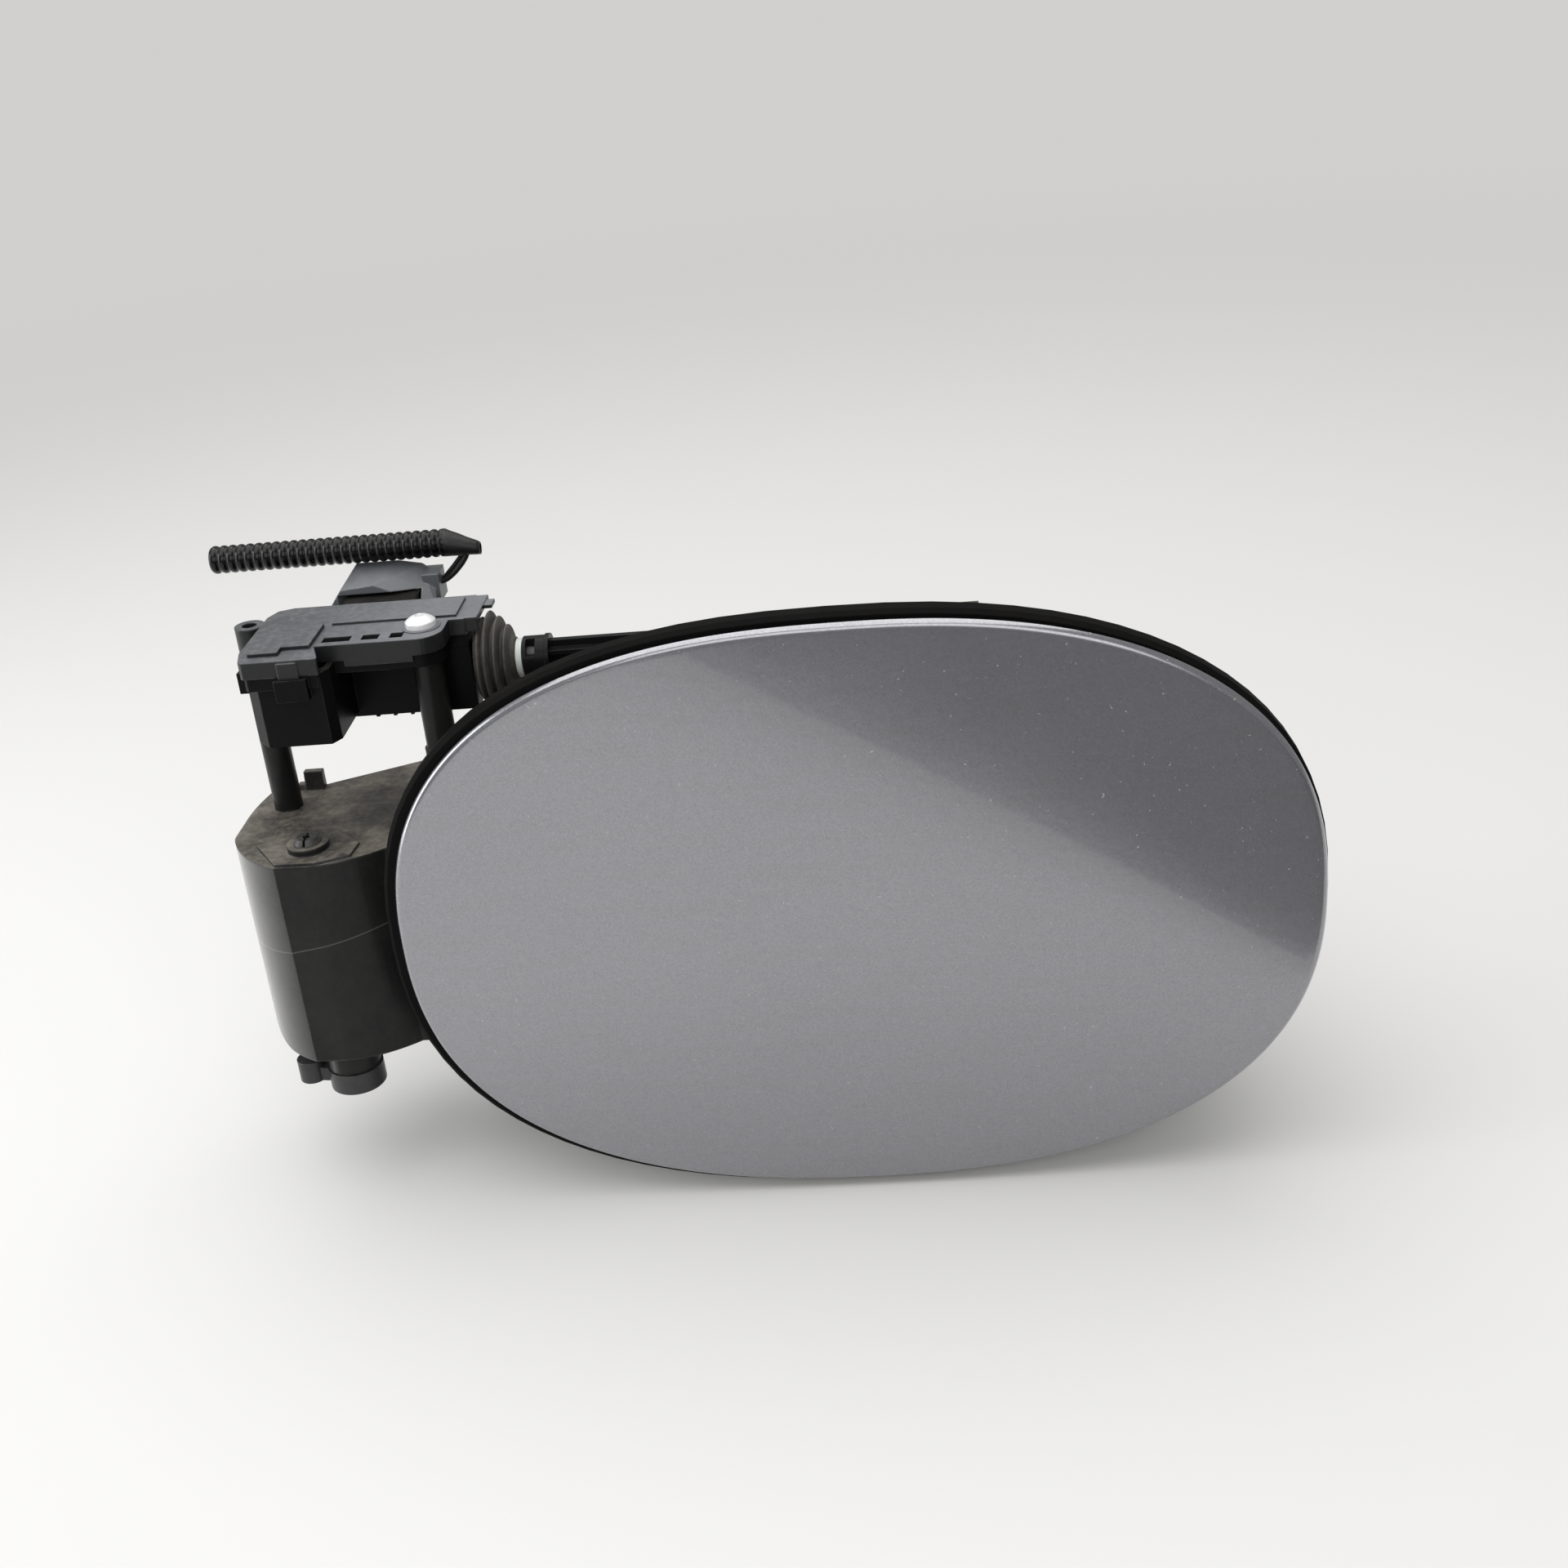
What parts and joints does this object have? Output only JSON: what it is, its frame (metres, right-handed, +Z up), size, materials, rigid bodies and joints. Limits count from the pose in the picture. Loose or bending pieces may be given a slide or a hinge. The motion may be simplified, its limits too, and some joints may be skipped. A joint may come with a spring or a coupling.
{
  "type": "car fuel door",
  "caption": "Oval painted fuel flap on a swan-neck hinge arm in its black pocket housing, with an electric lock actuator above the hinge box.",
  "frame": {"origin": "centre of the filler-neck bore, in the plane of the pocket's back wall", "axes": "+X from the hinge towards the latch side, +Y into the car along the neck bore, +Z up along the hinge pin; the painted flap faces -Y"},
  "size_m": [0.2478, 0.0833, 0.1435],
  "materials": {
    "flap_paint": "metallic grey-blue basecoat under gloss clearcoat",
    "housing_plastic": "black moulded plastic, satin, dusty on top",
    "seal_rubber": "matt black, dusty",
    "bumper_rubber": "matt black",
    "pin_plastic": "black acetal",
    "spring_steel": "drawn steel",
    "arm_plastic": "black glass-filled plastic",
    "screw_steel": "zinc plated",
    "panel_plastic": "black moulded plastic",
    "actuator_plastic": "black moulded plastic",
    "cover_plastic": "black moulded plastic, satin",
    "motor_can": "nickel-plated can",
    "gear_plastic": "natural acetal",
    "plunger_plastic": "white acetal",
    "bellows_rubber": "dusty black rubber",
    "rod_plastic": "black moulded plastic",
    "contact_metal": "tinned brass",
    "plug_plastic": "grey moulded plastic",
    "conduit_plastic": "black corrugated polyethylene",
    "wire_sheath": "black PVC"
  },
  "bodies": {
    "housing": {"pocket_housing": "housing_plastic", "rim_seal": "seal_rubber", "neck_seal": "seal_rubber", "bumpers": "bumper_rubber", "hinge_pin": "pin_plastic", "hinge_spring": "spring_steel", "actuator_base": "actuator_plastic", "actuator_cover": "cover_plastic", "actuator_screw": "screw_steel", "motor": "motor_can", "gear_shaft": "spring_steel", "bellows": "bellows_rubber", "terminal_pins": "contact_metal", "connector_plug": "plug_plastic", "conduit": "conduit_plastic", "wire_front": "wire_sheath", "wire_rear": "wire_sheath"},
    "flap": {"flap_skin": "flap_paint", "flap_panel": "panel_plastic", "hinge_arm": "arm_plastic", "arm_screws": "screw_steel"},
    "lock_rod": {"lock_rod": "rod_plastic", "plunger": "plunger_plastic"},
    "wheel": {"gear_wheel": "gear_plastic"},
    "worm": {"worm": "gear_plastic"}
  },
  "joints": [
    {"name": "flap_hinge", "type": "hinge", "parent": "housing", "child": "flap", "pos_m": [-0.122, -0.048, 0], "axis": [0, 0, -1], "range_deg": [0, 90]},
    {"name": "rod_slide", "type": "slide", "parent": "housing", "child": "lock_rod", "axis": [1, 0, 0], "range_m": [0, 0.01]},
    {"name": "wheel_spin", "type": "hinge", "parent": "housing", "child": "wheel", "pos_m": [-0.113, -0.0222, 0.05], "axis": [0, 0, -1], "range_deg": [0, 182.5]},
    {"name": "worm_spin", "type": "hinge", "parent": "housing", "child": "worm", "pos_m": [-0.11935, -0.0222, 0.05], "axis": [0, -1, 0], "range_deg": [0, 1184]}
  ],
  "couplings": [
    {"joint": "wheel_spin", "follows": "rod_slide", "rad_per_m": 317.46},
    {"joint": "worm_spin", "follows": "rod_slide", "rad_per_m": 2063.5}
  ]
}
